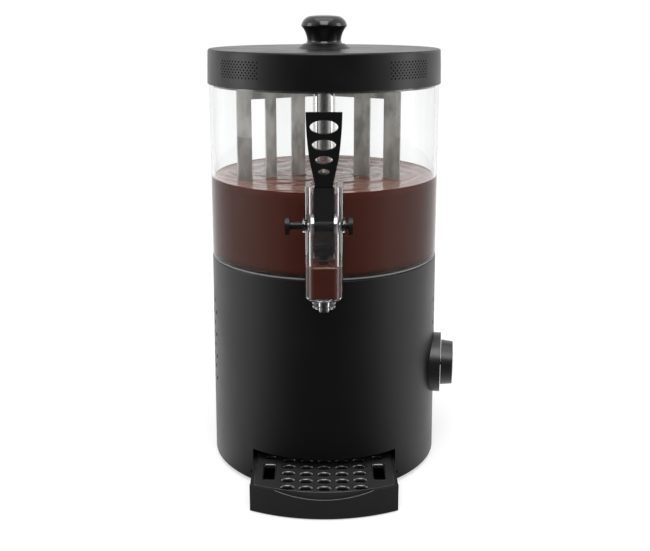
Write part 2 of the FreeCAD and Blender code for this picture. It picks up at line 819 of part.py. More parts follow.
def build_drive():
    node("carrier_plate", cut(
        cylinder(
            "body_radius - base_wall - carrier_edge_gap", "carrier_thickness", ("0", "0", "carrier_under")
        ),
        cylinder("socket_radius", "carrier_thickness", ("0", "0", "carrier_under")),
        *[
            cylinder("screw_radius + screw_gap", "carrier_thickness", around(
                "carrier_boss_ring", "carrier_under", f"carrier_boss_start + {i} * 120"))
            for i in range(3)
        ],
    ))
    node("carrier_screws", fuse(*[
        screw_down(
            around("carrier_boss_ring", "carrier_under", f"carrier_boss_start + {i} * 120"),
            "carrier_thickness + screw_bite",
        )
        for i in range(3)
    ]))
    outside = box(
        ("0 - gearbox_half - gearbox_wall", "0 - gearbox_half - gearbox_wall", "gearbox_low"),
        ("gearbox_half + gearbox_wall", "gearbox_end + gearbox_wall", "gearbox_lid_low"),
    )
    inside = box(
        ("0 - gearbox_half", "0 - gearbox_half", "gearbox_low + gearbox_wall"),
        ("gearbox_half", "gearbox_end", "gearbox_lid_low"),
    )
    motor_hole = cylinder(
        "motor_shaft_radius + slide_gap", "gearbox_wall", ("0", "gear_centres", "gearbox_low")
    )
    screw_spots = [("motor_screw_spread", "gear_centres"), ("0 - motor_screw_spread", "gear_centres")]
    screw_holes = [
        cylinder("screw_radius + screw_gap", "gearbox_wall", (x, y, "gearbox_low")) for x, y in screw_spots
    ]
    node("gearbox_case", cut(outside, inside, motor_hole, *screw_holes))
    node("gearbox_cover", cut(
        box(
            ("0 - gearbox_half - gearbox_wall", "0 - gearbox_half - gearbox_wall", "gearbox_lid_low"),
            ("gearbox_half + gearbox_wall", "gearbox_end + gearbox_wall", "carrier_under"),
        ),
        cylinder("shaft_hole", "gearbox_wall", ("0", "0", "gearbox_lid_low")),
    ))
    node("shaft_socket", ring(
        "socket_radius", "shaft_hole", "socket_height", ("0", "0", "gearbox_low + gearbox_wall")
    ))
    motor_low = "gearbox_low - motor_length"
    node("motor_can", cut(
        cylinder("motor_radius", "motor_length", ("0", "gear_centres", motor_low)),
        cylinder("motor_shaft_radius + running_gap", "motor_shaft_depth",
                 ("0", "gear_centres", "gearbox_low - motor_shaft_depth")),
        *[
            cylinder("screw_radius + screw_gap", "screw_bite", (x, y, "gearbox_low - screw_bite"))
            for x, y in screw_spots
        ],
    ))
    node("motor_screws", fuse(*[
        fuse(
            cylinder("screw_head_radius", "screw_head_height", (x, y, "gearbox_low + gearbox_wall")),
            cylinder("screw_radius", "gearbox_wall + screw_bite - 1", (x, y, "gearbox_low + 1 - screw_bite")),
        )
        for x, y in screw_spots
    ]))
    half_step = math.pi / size("pinion_teeth")
    pinion = shaped(gear_shape(
        int(size("pinion_teeth")),
        size("gear_width + 2 * pinion_extra"),
        size("gear_low - pinion_extra"),
        size("gear_centres"),
        -math.pi / 2 + half_step,
        size("motor_shaft_radius"),
    ))
    node("motor_pinion", pinion)
    node("motor_shaft", cylinder(
        "motor_shaft_radius",
        "gear_low + gear_width + pinion_extra - gearbox_low + motor_shaft_depth - 1",
        ("0", "gear_centres", "gearbox_low - motor_shaft_depth + 1"),
    ))
    node("drive_gear", shaped(gear_shape(
        int(size("gear_teeth")), size("gear_width"), size("gear_low"), 0, math.pi / 2, size("shaft_radius")
    )))
    node("drive_shaft", cylinder("shaft_radius", "shaft_top - shaft_low", ("0", "0", "shaft_low")))


def build_riser():
    tube = fuse(
        cylinder("riser_radius", "riser_top - riser_low", ("0", "0", "riser_low")),
        cylinder(
            "riser_flange_radius", "riser_flange_thickness", ("0", "0", "floor_top + riser_gasket_thickness")
        ),
    )
    node("riser_tube", cut(tube, cylinder("riser_bore", "riser_top - riser_low", ("0", "0", "riser_low"))))
    node("riser_gasket", ring(
        "riser_flange_radius - 1", "riser_radius + running_gap", "riser_gasket_thickness",
        ("0", "0", "floor_top"),
    ))
    nut_low = "deck_top - riser_nut_height"
    node("riser_nut", cut(
        hexagon("riser_nut_radius", "riser_nut_height", ("0", "0", nut_low)),
        cylinder("riser_radius + running_gap", "riser_nut_height", ("0", "0", nut_low)),
    ))
    node("lower_bush", ring("riser_bore", "shaft_hole", "bush_height", ("0", "0", "riser_low")))
    node("upper_bush", ring("riser_bore", "shaft_hole", "bush_height", ("0", "0", "riser_top - bush_height")))


def build_tank():
    wall = turned([
        ("riser_radius + screw_gap", "deck_top"),
        ("tank_radius", "deck_top"),
        ("tank_radius", "tank_top"),
        ("tank_inner", "tank_top"),
        ("tank_inner", "floor_top"),
        ("riser_radius + screw_gap", "floor_top"),
    ])
    neck_start = "0 - tank_radius + tank_wall * 0.7"
    mouth = ("0", "0 - outlet_reach", "outlet_height")
    neck = cylinder("outlet_radius", f"{neck_start} + outlet_reach", mouth, along_y())
    bore = cylinder("outlet_bore", "outlet_reach - tank_inner + 5", mouth, along_y())
    node("tank", cut(fuse(wall, neck), bore))
    node("tank_gasket", ring(
        "gasket_outer", "gasket_inner", "gasket_depth", ("0", "0", "deck_top - gasket_depth")
    ))
    flange_face = ("0", "0 - outlet_flange_face", "outlet_height")
    union_face = ("0", "0 - barrel_back + screw_gap", "outlet_height")
    node("outlet_gasket", cut(
        cylinder("outlet_radius", "outlet_gasket_thickness", flange_face, along_y()),
        cylinder("outlet_bore", "outlet_gasket_thickness", flange_face, along_y()),
    ))
    node("union_nut", cut(
        cylinder("union_radius", "union_length", union_face, along_y()),
        cylinder("outlet_radius + screw_gap", "union_length", union_face, along_y()),
    ))


def comb(name, angle, bar_end, tines):
    """A flat cross arm with tines hanging from it. A tine is (radius of its middle, width)."""
    points = [("comb_root", "bar_top"), ("comb_root", "bar_low")]
    for middle, width in tines:
        points.append((f"{middle} - {width} / 2", "bar_low"))
        points.append((f"{middle} - {width} / 2", "comb_tip"))
        points.append((f"{middle} + {width} / 2", "comb_tip"))
        points.append((f"{middle} + {width} / 2", "bar_low"))
    points[-1] = (bar_end, "bar_top")
    return node(name, plate(points, "comb_thickness", turn=Rotation(Vector(0, 0, 1), size(angle))))


def build_stirrer():
    combs = [
        comb("left_comb", "left_comb_angle", "left_tine_3 + left_tine_width / 2", [
            ("left_tine_1", "left_tine_width"),
            ("left_tine_2", "left_tine_narrow"),
            ("left_tine_3", "left_tine_width"),
        ]),
        comb("right_comb", "right_comb_angle", "right_tine_2 + right_tine_width / 2", [
            ("right_tine_1", "right_tine_width"),
            ("right_tine_2", "right_tine_width"),
        ]),
        comb("back_comb", "back_comb_angle", "back_tine_2 + back_tine_width / 2", [
            ("back_tine_1", "back_tine_width"),
            ("back_tine_2", "back_tine_width"),
        ]),
    ]
    node("thrust_washer", ring("washer_radius", "shaft_radius", "washer_thickness", ("0", "0", "riser_top")))
    node("stirrer_hub", cut(ring("hub_radius", "shaft_radius", "hub_height", ("0", "0", "hub_low")), *combs))
    node("hub_nut", cut(
        hexagon("hub_nut_radius", "hub_nut_height", ("0", "0", "hub_top")),
        cylinder("shaft_radius", "hub_nut_height", ("0", "0", "hub_top")),
    ))
    fill = cylinder("chocolate_radius", "chocolate_top - chocolate_low", ("0", "0", "chocolate_low"))
    hole = cylinder("riser_radius + flat_gap", "chocolate_top - chocolate_low", ("0", "0", "chocolate_low"))
    foot_hole = cylinder(
        "riser_flange_radius + flat_gap", "flange_top + flat_gap - chocolate_low", ("0", "0", "chocolate_low")
    )
    node("chocolate_fill", cut(fill, hole, foot_hole, *combs))


def lid_vents(side):
    """Small holes through the lid's wall, in staggered rows."""
    holes = []
    depth = size("lid_wall") + 3
    for row in range(int(size("lid_hole_rows"))):
        z = size("tank_top + lid_hole_low") + row * size("lid_hole_row_pitch")
        for column in range(int(size("lid_hole_columns"))):
            shift = column + 0.5 * (row % 2)
            angle = math.radians(size("lid_hole_start") + shift * size("lid_hole_column_pitch"))
            out = Vector(side * math.sin(angle), -math.cos(angle), 0)
            start = out * (size("lid_top_radius") - depth) + Vector(0, 0, z)
            holes.append(Part.makeCylinder(size("lid_hole_radius"), depth + 2, start, out))
    return shaped(Part.makeCompound(holes))


def build_lid():
    shell = turned([
        ("lid_rim_radius - lid_wall", "tank_top"),
        ("lid_rim_radius", "tank_top"),
        ("lid_top_radius", "lid_top - lid_round"),
        ("lid_top_radius - lid_round", "lid_top", "lid_round"),
        ("lid_boss_low_radius", "lid_top"),
        ("lid_boss_top_radius", "knob_low"),
        ("screw_radius + screw_gap", "knob_low"),
        ("screw_radius + screw_gap", "lid_under"),
        ("lid_top_radius - lid_wall", "lid_under"),
        ("lid_rim_radius - lid_wall", "skirt_top"),
        ("lid_skirt_radius - lid_skirt_thickness", "skirt_top"),
        ("lid_skirt_radius - lid_skirt_thickness", "skirt_low"),
        ("lid_skirt_radius", "skirt_low"),
        ("lid_skirt_radius", "skirt_top - lid_skirt_thickness"),
        ("lid_rim_radius - lid_wall", "skirt_top - lid_skirt_thickness"),
    ])
    node("lid_shell", cut(shell, lid_vents(-1), lid_vents(1)))
    node("lid_seal", ring(
        "tank_inner - flat_gap", "lid_skirt_radius", "lid_seal_height", ("0", "0", "skirt_low")
    ))
    node("lid_knob", turned([
        ("screw_radius + screw_gap", "knob_low"),
        ("knob_foot_radius", "knob_low"),
        ("knob_neck_radius", "knob_low + knob_neck_height", "0 - knob_neck_height * 1.6"),
        ("knob_radius", "knob_low + knob_wide_height", "0 - knob_radius"),
        ("knob_crown_radius", "knob_low + knob_crown_height", "knob_radius * 0.5"),
        ("crown_flat", "knob_low + knob_height", "knob_radius * 4"),
        ("0", "knob_low + knob_height"),
        ("0", "knob_low + knob_screw_depth"),
        ("screw_radius + screw_gap", "knob_low + knob_screw_depth"),
    ]))
    node("knob_screw", fuse(
        cylinder("screw_head_radius", "screw_head_height", ("0", "0", "lid_under - screw_head_height")),
        cylinder(
            "screw_radius", "lid_thickness + lid_boss_height + knob_screw_depth - 1", ("0", "0", "lid_under")
        ),
    ))


def upright_block(width, depth, low, high, corner):
    """A block with rounded upright edges, centred on the tap."""
    block = box(
        (f"0 - {width} / 2", f"0 - tap_y - {depth} / 2", low),
        (f"{width} / 2", f"0 - tap_y + {depth} / 2", high),
    )
    return rounded(block, corner, upright)


def at_low_end(edge):
    return edge.BoundBox.ZMax < size("barrel_bottom_z") + 0.01


def build_barrel():
    tap_face = "0 - outlet_flange_face"
    body = rounded(
        upright_block("barrel_width", "barrel_depth", "barrel_bottom_z", "barrel_top", "barrel_corner"),
        "barrel_bottom_round",
        at_low_end,
    )
    flange = cylinder(
        "outlet_radius", "barrel_back + barrel_wall - outlet_flange_face",
        ("0", "0 - barrel_back - barrel_wall", "outlet_height"), along_y(),
    )
    bosses = [
        cylinder("pivot_boss_radius", "barrel_wall + pivot_boss_height - 1",
                 ("bore_width / 2 + 1", "0 - tap_y", "pivot_z"), along_x()),
        cylinder("pivot_boss_radius", "barrel_wall + pivot_boss_height - 1",
                 ("0 - barrel_width / 2 - pivot_boss_height", "0 - tap_y", "pivot_z"), along_x()),
    ]
    bore = upright_block("bore_width", "bore_depth", "barrel_floor_top", "barrel_top + 1", "bore_corner")
    holes = [
        cylinder("pin_hole", "pin_left + pin_right", ("0 - pin_left", "0 - tap_y", "pivot_z"), along_x()),
        cylinder("outlet_bore", f"barrel_back + barrel_wall + 2 + ({tap_face})",
                 ("0", "0 - barrel_back - barrel_wall - 2", "outlet_height"), along_y()),
        cylinder("nozzle_spigot_radius", "barrel_floor", ("0", "0 - tap_y", "barrel_bottom_z")),
    ]
    node("tap_barrel", cut(fuse(body, flange, *bosses), bore, *holes))
    tip_low = "0 - nozzle_length - nozzle_tip_length"
    nozzle = turned([
        ("nozzle_bore", "barrel_floor"),
        ("nozzle_bore", tip_low),
        ("nozzle_tip_radius - nozzle_tip_round", tip_low),
        ("nozzle_tip_radius", "nozzle_tip_round - nozzle_length - nozzle_tip_length", "nozzle_tip_round"),
        ("nozzle_tip_radius + nozzle_tip_round", "0 - nozzle_length"),
        ("nozzle_radius - nozzle_round", "0 - nozzle_length"),
        ("nozzle_radius", "nozzle_round - nozzle_length", "nozzle_round"),
        ("nozzle_radius", "0"),
        ("nozzle_spigot_radius", "0"),
        ("nozzle_spigot_radius", "barrel_floor"),
    ])
    node("tap_nozzle", place(nozzle, ("0", "0 - tap_y", "barrel_bottom_z")))
    fill = upright_block(
        "bore_width", "bore_depth", "barrel_floor_top", "barrel_floor_top + tap_chocolate_depth", "bore_corner"
    )
    tap_floor = ("0", "0 - tap_y", "barrel_floor_top")
    rod_room = cylinder("rod_radius + flat_gap", "tap_chocolate_depth", tap_floor)
    seal_room = cylinder(
        "seal_radius + flat_gap", "seal_height + plunger_travel + flat_gap", tap_floor
    )
    node("tap_chocolate", cut(fill, rod_room, seal_room))


def build_pivot():
    head = cylinder(
        "pin_head_radius", "pin_head_thickness", ("0 - pin_left", "0 - tap_y", "pivot_z"), along_x()
    )
    shank = cylinder(
        "pin_radius", "pin_left + pin_right - 2 * pin_head_thickness + pin_cap_bite",
        ("0 - pin_left + pin_head_thickness", "0 - tap_y", "pivot_z"), along_x(),
    )
    node("pivot_pin", fuse(head, shank))
    node("pin_cap", cut(
        cylinder("pin_head_radius", "pin_head_thickness",
                 ("pin_right - pin_head_thickness", "0 - tap_y", "pivot_z"), along_x()),
        cylinder(
            "pin_radius", "pin_cap_bite", ("pin_right - pin_head_thickness", "0 - tap_y", "pivot_z"), along_x()
        ),
    ))
    rings = []
    for start in ("spacer_inner", "0 - spacer_outer"):
        spot = (start, "0 - tap_y", "pivot_z")
        rings.append(cut(
            cylinder("spacer_radius", "spacer_outer - spacer_inner", spot, along_x()),
            cylinder("pin_hole", "spacer_outer - spacer_inner", spot, along_x()),
        ))
    node("pivot_spacers", fuse(*rings))


def paddle_windows():
    """Four oval windows through the paddle, the top one widest."""
    windows = []
    through = size("stem_thickness") * 3
    for i in range(1, 5):
        height = size(f"window_{i}_over_pivot")
        ellipse = Part.Ellipse(Vector(0, 0, 0), size(f"window_{i}_width") / 2, size(f"window_{i}_height") / 2)
        face = Part.Face(Part.Wire([ellipse.toShape()]))
        solid = face.extrude(Vector(0, 0, through))
        solid.rotate(Vector(0, 0, 0), Vector(1, 0, 0), 90)
        solid.translate(Vector(0, through / 2 - size("tap_y"), size("pivot_z") + height))
        windows.append(solid)
    return shaped(Part.makeCompound(windows))


def build_lever():
    half = "stem_width / 2"
    low = "0 - paddle_low_width / 2"
    wide = "paddle_top_width / 2"
    blade = plate([
        (f"0 - {half}", "0"),
        (half, "0"),
        (half, "stem_top"),
        ("paddle_low_width / 2", "paddle_low"),
        (wide, "paddle_top", "paddle_bulge"),
        (f"0 - {wide}", "paddle_top"),
        (low, "paddle_low", "paddle_bulge"),
        (f"0 - {half}", "stem_top"),
    ], "stem_thickness", ("0", "0 - tap_y", "pivot_z"))
    boss = cylinder("lever_boss_radius", "stem_width", (f"0 - {half}", "0 - tap_y", "pivot_z"), along_x())
    toe = box(
        ("0 - toe_width / 2", "0 - tap_y", "pivot_z - toe_thickness / 2"),
        ("toe_width / 2", "0 - tap_y + toe_reach", "pivot_z + toe_thickness / 2"),
    )
    hole = cylinder("pin_hole", "stem_width", (f"0 - {half}", "0 - tap_y", "pivot_z"), along_x())
    node("tap_lever", cut(fuse(blade, boss, toe), hole, paddle_windows()))


def build_plunger():
    front = "0 - tap_y - plunger_front"
    back = "0 - tap_y + plunger_back"
    half = "plunger_width / 2"
    narrow = "plunger_back_width / 2"
    block = box((f"0 - {half}", front, "block_low"), (half, back, "block_top"))
    front_plate = box(
        (f"0 - {half}", front, "block_low"),
        (half, f"{front} + plunger_front_thickness", "pivot_z - plunger_front_top"),
    )
    arm = box(
        (f"0 - {narrow}", f"{back} - plunger_back_thickness", "block_low"),
        (narrow, back, "lip_low + plunger_lip_thickness"),
    )
    lip = box(
        (f"0 - {narrow}", f"{back} - plunger_lip", "lip_low"),
        (narrow, back, "lip_low + plunger_lip_thickness"),
    )
    rod = cylinder("rod_radius", "block_low - seal_top", ("0", "0 - tap_y", "seal_top"))
    node("tap_plunger", fuse(block, front_plate, arm, lip, rod))
    node("plunger_collar", cut(
        cylinder("collar_radius", "collar_height", ("0", "0 - tap_y", "collar_low")),
        cylinder("rod_radius", "collar_height", ("0", "0 - tap_y", "collar_low")),
    ))
    node("plunger_seal", cylinder("seal_radius", "seal_height", ("0", "0 - tap_y", "barrel_floor_top")))


def build_dial():
    turn = radial(size("dial_angle"))
    wall = "base_bottom_radius - base_wall"
    disc = cylinder(
        "bezel_radius", "bezel_face - body_radius + base_wall", dial_point("body_radius - base_wall"), turn
    )
    inside = cone(
        "base_bottom_radius", "body_radius", "base_height - base_bottom_bevel - deck_round",
        ("0", "0", "foot_height + base_bottom_bevel"),
    )
    bezel = cut(
        disc,
        inside,
        cylinder("bush_radius + screw_gap", "bezel_stand + base_wall * 3", dial_point(wall), turn),
        cylinder(
            "bezel_radius - bezel_lip_width", "bezel_lip + 1", dial_point("bezel_face - bezel_lip"), turn
        ),
    )
    node("dial_bezel", bezel)
    dial = cut(
        cone("dial_radius", "dial_top_radius", "dial_thickness", dial_point("dial_low"), turn),
        cylinder("cap_radius", "cap_recess + 1", dial_point("dial_high - cap_recess"), turn),
        cylinder("spindle_radius", "spindle_grip", dial_point("dial_low"), turn),
    )
    node("dial_knob", dial)
    cap = turned([
        ("0", "0"),
        ("cap_radius", "0"),
        ("cap_radius", "cap_recess"),
        ("crown_flat", "cap_recess + cap_rise", "cap_radius * cap_radius / (2 * cap_rise) + cap_rise / 2"),
        ("0", "cap_recess + cap_rise"),
    ])
    node("dial_cap", place(cap, dial_point("dial_high - cap_recess"), turn))
    body_back = "thermostat_face - thermostat_depth"
    case = box(
        ("0", "0", "0"),
        ("thermostat_height", "thermostat_width", "thermostat_depth"),
        turn,
    )
    corner = turn.multVec(Vector(-size("thermostat_height") / 2, -size("thermostat_width") / 2, 0))
    x, y, z = dial_point(body_back)
    place(case, (f"{x} + {corner.x}", f"{y} + {corner.y}", f"{z} + {corner.z}"))
    bush = cylinder(
        "bush_radius", "bezel_face - bezel_lip - thermostat_face", dial_point("thermostat_face"), turn
    )
    bore = cylinder(
        "spindle_radius + running_gap", "bezel_face - thermostat_face + thermostat_depth / 2",
        dial_point("thermostat_face - thermostat_depth / 2"), turn,
    )
    node("thermostat_body", cut(fuse(case, bush), bore))
    node("thermostat_spindle", cylinder(
        "spindle_radius",
        "dial_low + spindle_grip - thermostat_face + thermostat_depth / 2 - flat_gap",
        dial_point("thermostat_face - thermostat_depth / 2 + flat_gap"),
        turn,
    ))


def tray_section(low, high, half_width, front_radius, back):
    """The tray's plan: a front arc about the body's axis, straight sides and a straight back."""
    bounds = box(
        (f"0 - {half_width}", f"0 - {front_radius} - 1", low),
        (half_width, f"0 - {back}", high),
    )
    return common(bounds, cylinder(front_radius, f"({high}) - ({low})", ("0", "0", low)))


def build_tray():
    outside = tray_section("tray_bottom", "tray_top", "tray_half_width", "tray_front_radius", "tray_back")
    inner_front = "tray_front_radius - tray_wall"
    hollow = tray_section(
        "tray_bottom + tray_floor", "tray_top + 1", "tray_inner_half", inner_front, "(tray_back + tray_wall)"
    )
    step = tray_section("tray_rim", "tray_top + 1", "(tray_half_width + 1)", inner_front, "(tray_back - 1)")
    scoop_rise = "tray_top + scoop_half_width * scoop_half_width / (2 * scoop_depth) - scoop_depth / 2"
    scoop = cylinder(
        "scoop_half_width * scoop_half_width / (2 * scoop_depth) + scoop_depth / 2",
        "tray_wall * 8",
        ("0", "0 - tray_front_radius - tray_wall", scoop_rise),
        along_y(),
    )
    shell = cut(outside, hollow, step, scoop)
    ledges = []
    for low_x, high_x in (
        ("tray_inner_half - tray_ledge", "tray_inner_half + 1"),
        ("0 - tray_inner_half - 1", "0 - tray_inner_half + tray_ledge"),
    ):
        ledges.append(box(
            (low_x, "0 - tray_front_radius + tray_ledge_start", "tray_rim - tray_ledge_thickness"),
            (high_x, "0 - tray_back - tray_wall / 2", "tray_rim"),
        ))
    runners = []
    for low_x, high_x in (
        ("tray_half_width - 1", "tray_half_width + runner_width"),
        ("0 - tray_half_width - runner_width", "1 - tray_half_width"),
    ):
        runners.append(box(
            (low_x, "0 - tray_back - runner_length", "runner_z"),
            (high_x, "0 - tray_back", "runner_z + runner_thickness"),
        ))
    node("drip_tray", fuse(shell, *ledges, *runners))


def build_grid():
    sheet_part = tray_section("tray_rim", "tray_top", "grid_half_width", "grid_front", "grid_back")
    skirt = cut(
        tray_section(
            "tray_top - grid_skirt", "tray_top", "(tray_inner_half - grid_skirt_inset)",
            "grid_front", "(grid_front - grid_skirt_depth)",
        ),
        cylinder("grid_front - grid_thickness", "grid_skirt", ("0", "0", "tray_top - grid_skirt")),
    )
    holes = []
    low = size("tray_rim") - 1
    depth = size("grid_thickness") + 2
    columns = int(size("grid_columns"))
    rows = int(size("grid_rows"))
    for column in range(columns):
        x = (column - (columns - 1) / 2) * size("grid_pitch_x")
        lag = size("grid_bow") * (abs(x) / size("grid_pitch_x")) ** 2 * size("grid_pitch_x") / 2
        for row in range(rows):
            y = -size("grid_front_row") + row * size("grid_pitch_y") + lag
            holes.append(oval_hole(x, y, low, size("grid_hole_length"), size("grid_hole_width"), depth))
    for side in (-1, 1):
        x = side * size("grid_side_x")
        slot_back = -size("grid_slot_front") + size("grid_slot_length")
        hole_y = slot_back + size("grid_pitch_y")
        holes.append(oval_hole(x, hole_y, low, size("grid_end_hole_length"), size("grid_hole_width"), depth))
        slot = Part.makeBox(size("grid_slot_width"), size("grid_slot_length"), depth)
        slot.translate(Vector(x - size("grid_slot_width") / 2, -size("grid_slot_front"), low))
        corners = [e for e in slot.Edges if e.BoundBox.ZLength > depth / 2]
        holes.append(slot.makeFillet(size("grid_slot_corner"), corners))
    node("tray_grid", cut(fuse(sheet_part, skirt), shaped(Part.makeCompound(holes))))


def oval_hole(x, y, low, length, width, depth):
    ellipse = Part.Ellipse(Vector(x, y, low), length / 2, width / 2)
    return Part.Face(Part.Wire([ellipse.toShape()])).extrude(Vector(0, 0, depth))


def build_supply():
    wall_face = "base_bottom_radius"
    start = "body_radius - base_wall - gland_nut_thickness"
    neck = cylinder("gland_neck", f"{wall_face} - ({start}) + 1", ("0", start, "gland_z"), along_y())
    flange = cylinder("gland_flange", "gland_flange_thickness", ("0", wall_face, "gland_z"), along_y())
    tail = cone(
        "gland_flange - gland_shoulder", "gland_tail_radius", "gland_tail",
        ("0", f"{wall_face} + gland_flange_thickness", "gland_z"),
        along_y(),
    )
    bore = cylinder("gland_bore", "gland_tail * 6", ("0", f"{start} - 1", "gland_z"), along_y())
    node("cord_gland", cut(fuse(neck, flange, tail), bore))
    node("gland_nut", cut(
        cylinder("gland_flange", "gland_nut_thickness", ("0", start, "gland_z"), along_y()),
        cylinder("gland_neck + running_gap", "gland_nut_thickness", ("0", start, "gland_z"), along_y()),
    ))
    floor = "foot_height + bottom_plate_thickness"
    node("terminal_block", box(
        ("0 - terminal_length / 2", "terminal_y", floor),
        ("terminal_length / 2", "terminal_y + terminal_width", f"{floor} + terminal_height"),
    ))


def main():
    build_base()
    build_underside()
    build_heater()
    build_drive()
    build_riser()
    build_tank()
    build_stirrer()
    build_lid()
    build_barrel()
    build_pivot()
    build_lever()
    build_plunger()
    build_dial()
    build_tray()
    build_grid()
    build_supply()
    doc.recompute()
    for thing in doc.Objects:
        if {"Invalid", "Error"} & set(thing.State):
            raise RuntimeError(f"{thing.Label} ({thing.Name}) did not build: {thing.State}")
    for thing in NODES:
        if thing.Shape.isNull() or not thing.Shape.isValid() or not thing.Shape.Solids:
            raise RuntimeError(f"{thing.Label} has no valid solid")
    os.makedirs("parts", exist_ok=True)
    for thing in NODES:
        thing.Shape.exportStep(f"parts/{thing.Label}.step")


main()
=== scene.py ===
import math

import bpy
import numpy as np
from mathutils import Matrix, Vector


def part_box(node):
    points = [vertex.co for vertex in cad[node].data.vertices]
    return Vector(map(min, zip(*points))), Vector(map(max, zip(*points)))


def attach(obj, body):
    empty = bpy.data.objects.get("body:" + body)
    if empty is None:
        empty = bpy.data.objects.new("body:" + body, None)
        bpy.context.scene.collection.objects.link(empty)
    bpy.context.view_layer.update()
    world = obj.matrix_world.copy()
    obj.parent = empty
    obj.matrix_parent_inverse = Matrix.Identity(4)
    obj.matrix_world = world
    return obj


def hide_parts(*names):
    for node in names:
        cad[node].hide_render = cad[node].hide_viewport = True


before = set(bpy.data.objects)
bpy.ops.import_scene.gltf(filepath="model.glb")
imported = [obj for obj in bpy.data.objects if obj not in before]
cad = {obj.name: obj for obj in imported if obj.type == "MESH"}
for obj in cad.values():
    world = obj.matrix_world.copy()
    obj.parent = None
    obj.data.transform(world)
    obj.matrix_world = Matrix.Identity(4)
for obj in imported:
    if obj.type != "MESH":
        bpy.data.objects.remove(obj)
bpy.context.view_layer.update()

MM = 0.001
GRAIN_SCALE = 2500.0
BUMP_DEPTH = 0.0002

# How the noise is stretched along Z: worked metal, drawn metal, and streaks in clear plastic
BRUSHED = (1, 1, 0.06)
DRAWN = (1, 1, 0.05)
STREAKED = (1, 1, 0.02)


# Helpers for node trees and meshes

def tree_of(name):
    """A new material with an empty tree, and its tree."""
    made = bpy.data.materials.new(name)
    made.use_nodes = True
    made.node_tree.nodes.clear()
    return made, made.node_tree


def add(tree, kind, inputs=None, **settings):
    """A node with its settings, and with values or links for its inputs."""
    made = tree.nodes.new(kind)
    for word, value in settings.items():
        setattr(made, word, value)
    for word, value in (inputs or {}).items():
        if isinstance(value, bpy.types.NodeSocket):
            tree.links.new(value, made.inputs[word])
        else:
            made.inputs[word].default_value = value
    return made


def finish_tree(tree, shader):
    """Link the shader to the material's output."""
    tree.links.new(shader, add(tree, "ShaderNodeOutputMaterial").inputs["Surface"])


def srgb(red, green, blue):
    """A colour as it looks on the screen, 0 to 255, as linear values."""
    def linear(value):
        value /= 255
        return value / 12.92 if value <= 0.04045 else ((value + 0.055) / 1.055) ** 2.4
    return (linear(red), linear(green), linear(blue), 1.0)


def shade_of(colour, share):
    """The colour made darker or lighter by a factor."""
    return tuple(min(1, c * share) for c in colour[:3]) + (1,)


def noise(tree, scale, detail=3.0, stretch=(1, 1, 1), roughness=0.5):
    """Noise in the part's own frame, in metres."""
    coord = add(tree, "ShaderNodeTexCoord")
    mapping = add(tree, "ShaderNodeMapping", {"Vector": coord.outputs["Object"], "Scale": stretch})
    return add(tree, "ShaderNodeTexNoise", {
        "Vector": mapping.outputs["Vector"], "Scale": scale, "Detail": detail, "Roughness": roughness,
    }).outputs["Fac"]


def spread(tree, fac, low, high, start=0.3, end=0.7):
    """fac from start to end gives a number from low to high."""
    return add(tree, "ShaderNodeMapRange", {
        "Value": fac, "From Min": start, "From Max": end, "To Min": low, "To Max": high,
    }).outputs["Result"]


def blend(tree, fac, first, second):
    """A colour that goes from first to second as fac goes from 0 to 1."""
    return add(tree, "ShaderNodeMix", {0: fac, 6: first, 7: second}, data_type="RGBA").outputs[2]


def bump(tree, height, strength):
    """A normal that follows the height."""
    return add(tree, "ShaderNodeBump", {
        "Height": height, "Strength": strength, "Distance": BUMP_DEPTH,
    }).outputs["Normal"]


def plastic(name, colour, low_rough, high_rough, grain=0.0, level=0.5):
    """Moulded or painted surface: uneven gloss and a fine grain."""
    made, tree = tree_of(name)
    patch = noise(tree, 28.0)
    inputs = {
        "Base Color": colour,
        "Roughness": spread(tree, patch, low_rough, high_rough),
        "Specular IOR Level": level,
    }
    if grain:
        inputs["Normal"] = bump(tree, noise(tree, GRAIN_SCALE, 1.0), grain)
    finish_tree(tree, add(tree, "ShaderNodeBsdfPrincipled", inputs).outputs["BSDF"])
    return made


def metal(name, colour, low_rough, high_rough, stretch=(1, 1, 1), scale=60.0, scratch=0.0, cloud=0.0):
    """Metal whose gloss varies along the direction it was worked.

    scratch is the strength of fine scratches, and cloud how far the colour varies in patches.
    """
    made, tree = tree_of(name)
    patch = noise(tree, scale, 4.0, stretch)
    if cloud:
        patches = spread(tree, noise(tree, 70.0, 6.0, (1, 1, 0.5), 0.6), 0.0, 1.0, 0.38, 0.62)
        colour = blend(tree, patches, shade_of(colour, 1 - cloud), shade_of(colour, 1 + cloud))
    inputs = {
        "Base Color": colour,
        "Metallic": 1.0,
        "Roughness": spread(tree, patch, low_rough, high_rough),
    }
    if scratch:
        inputs["Normal"] = bump(tree, noise(tree, scale * 6, 2.0, stretch), scratch)
    finish_tree(tree, add(tree, "ShaderNodeBsdfPrincipled", inputs).outputs["BSDF"])
    return made


